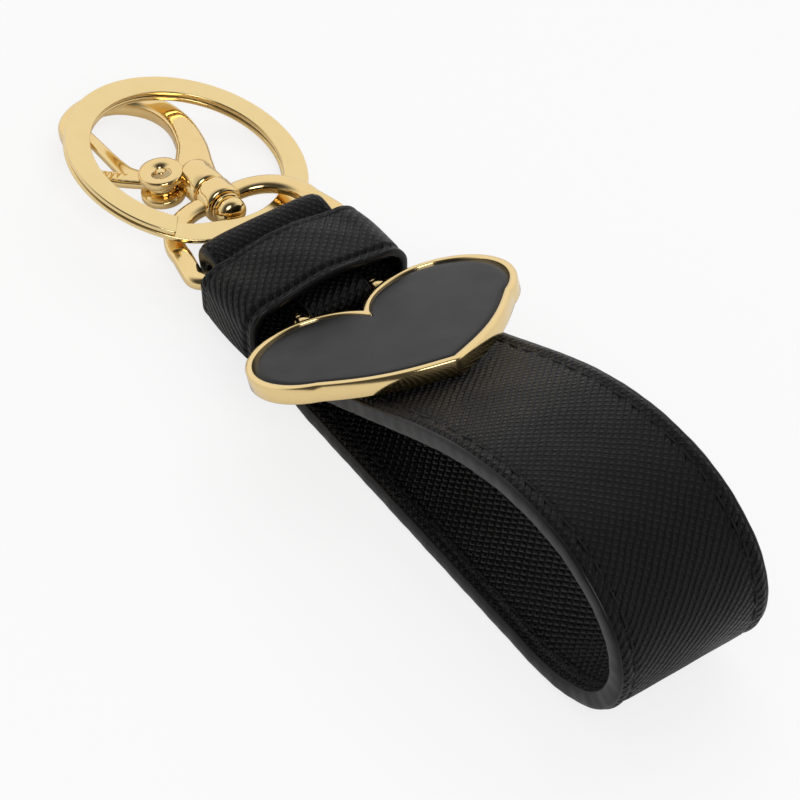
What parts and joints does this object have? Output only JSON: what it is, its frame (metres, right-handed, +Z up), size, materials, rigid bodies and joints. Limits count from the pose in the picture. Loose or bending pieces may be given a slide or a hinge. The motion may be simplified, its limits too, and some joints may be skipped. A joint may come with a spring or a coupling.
{
  "type": "wristlet keychain",
  "caption": "Folded black leather wrist strap with a keeper band, a hinged heart charm, a D-ring with a swivelling snap hook, and a flat split key ring, all in polished gold finish.",
  "frame": {"origin": "middle of the strap's width on the underside of the flat run, 30 mm from where the wrist loop's bend starts", "axes": "+Z up from the surface that the strap lies on, +X along the strap towards the wrist loop's bend, -X towards the hook, Y across the strap"},
  "size_m": [0.1381, 0.0388, 0.0287],
  "materials": {
    "outer_leather": "cross-hatch embossed, satin",
    "core_board": "bonded leather board",
    "lining_leather": "cross-hatch embossed, satin",
    "keeper_leather": "cross-hatch embossed, satin",
    "keeper_lining_leather": "smooth",
    "tab_leather": "cross-hatch embossed, satin",
    "heart_gold": "polished gold plate",
    "dark_enamel": "smooth enamel",
    "bar_gold": "polished gold plate",
    "d_ring_gold": "polished gold plate",
    "post_gold": "polished gold plate",
    "washer_gold": "polished gold plate",
    "hook_gold": "polished gold plate",
    "gate_gold": "polished gold plate",
    "pin_gold": "polished gold plate",
    "spring_steel": "drawn wire",
    "ring_gold": "polished gold plate"
  },
  "bodies": {
    "strap": {"strap_outer_leather": "outer_leather", "strap_core": "core_board", "strap_lining": "lining_leather", "keeper_outer_leather": "keeper_leather", "keeper_lining": "keeper_lining_leather", "heart_tab": "tab_leather"},
    "heart": {"heart_frame": "heart_gold", "heart_enamel": "dark_enamel", "heart_bar": "bar_gold"},
    "d_ring": {"d_ring": "d_ring_gold"},
    "hook": {"swivel_post": "post_gold", "swivel_washer": "washer_gold", "hook_body": "hook_gold", "gate_pin": "pin_gold", "gate_spring": "spring_steel"},
    "gate": {"hook_gate": "gate_gold"},
    "key_ring": {"split_ring": "ring_gold"}
  },
  "joints": [
    {"name": "heart_swing", "type": "hinge", "parent": "strap", "child": "heart", "pos_m": [-0.0286, 0, 0.0083], "axis": [0, -1, 0], "range_deg": [0, 65]},
    {"name": "d_ring_pivot", "type": "hinge", "parent": "strap", "child": "d_ring", "pos_m": [-0.045, 0, 0.0054], "axis": [0, 1, 0], "range_deg": [0, 80]},
    {"name": "hook_swivel", "type": "hinge", "parent": "d_ring", "child": "hook", "pos_m": [-0.05886, 0, 0.00431], "axis": [-0.9969, 0, -0.0785], "range_deg": [0, 18]},
    {"name": "gate_pivot", "type": "hinge", "parent": "hook", "child": "gate", "pos_m": [-0.06693, -0.0043, 0.00367], "axis": [0.0785, 0, -0.9969], "range_deg": [0, 25], "stiffness_Nm_per_rad": 0.01, "springref_deg": -11.46},
    {"name": "ring_spin", "type": "hinge", "parent": "d_ring", "child": "key_ring", "pos_m": [-0.0671, 0, 0.00587], "axis": [0.1006, 0.2706, 0.9574], "continuous": true}
  ]
}
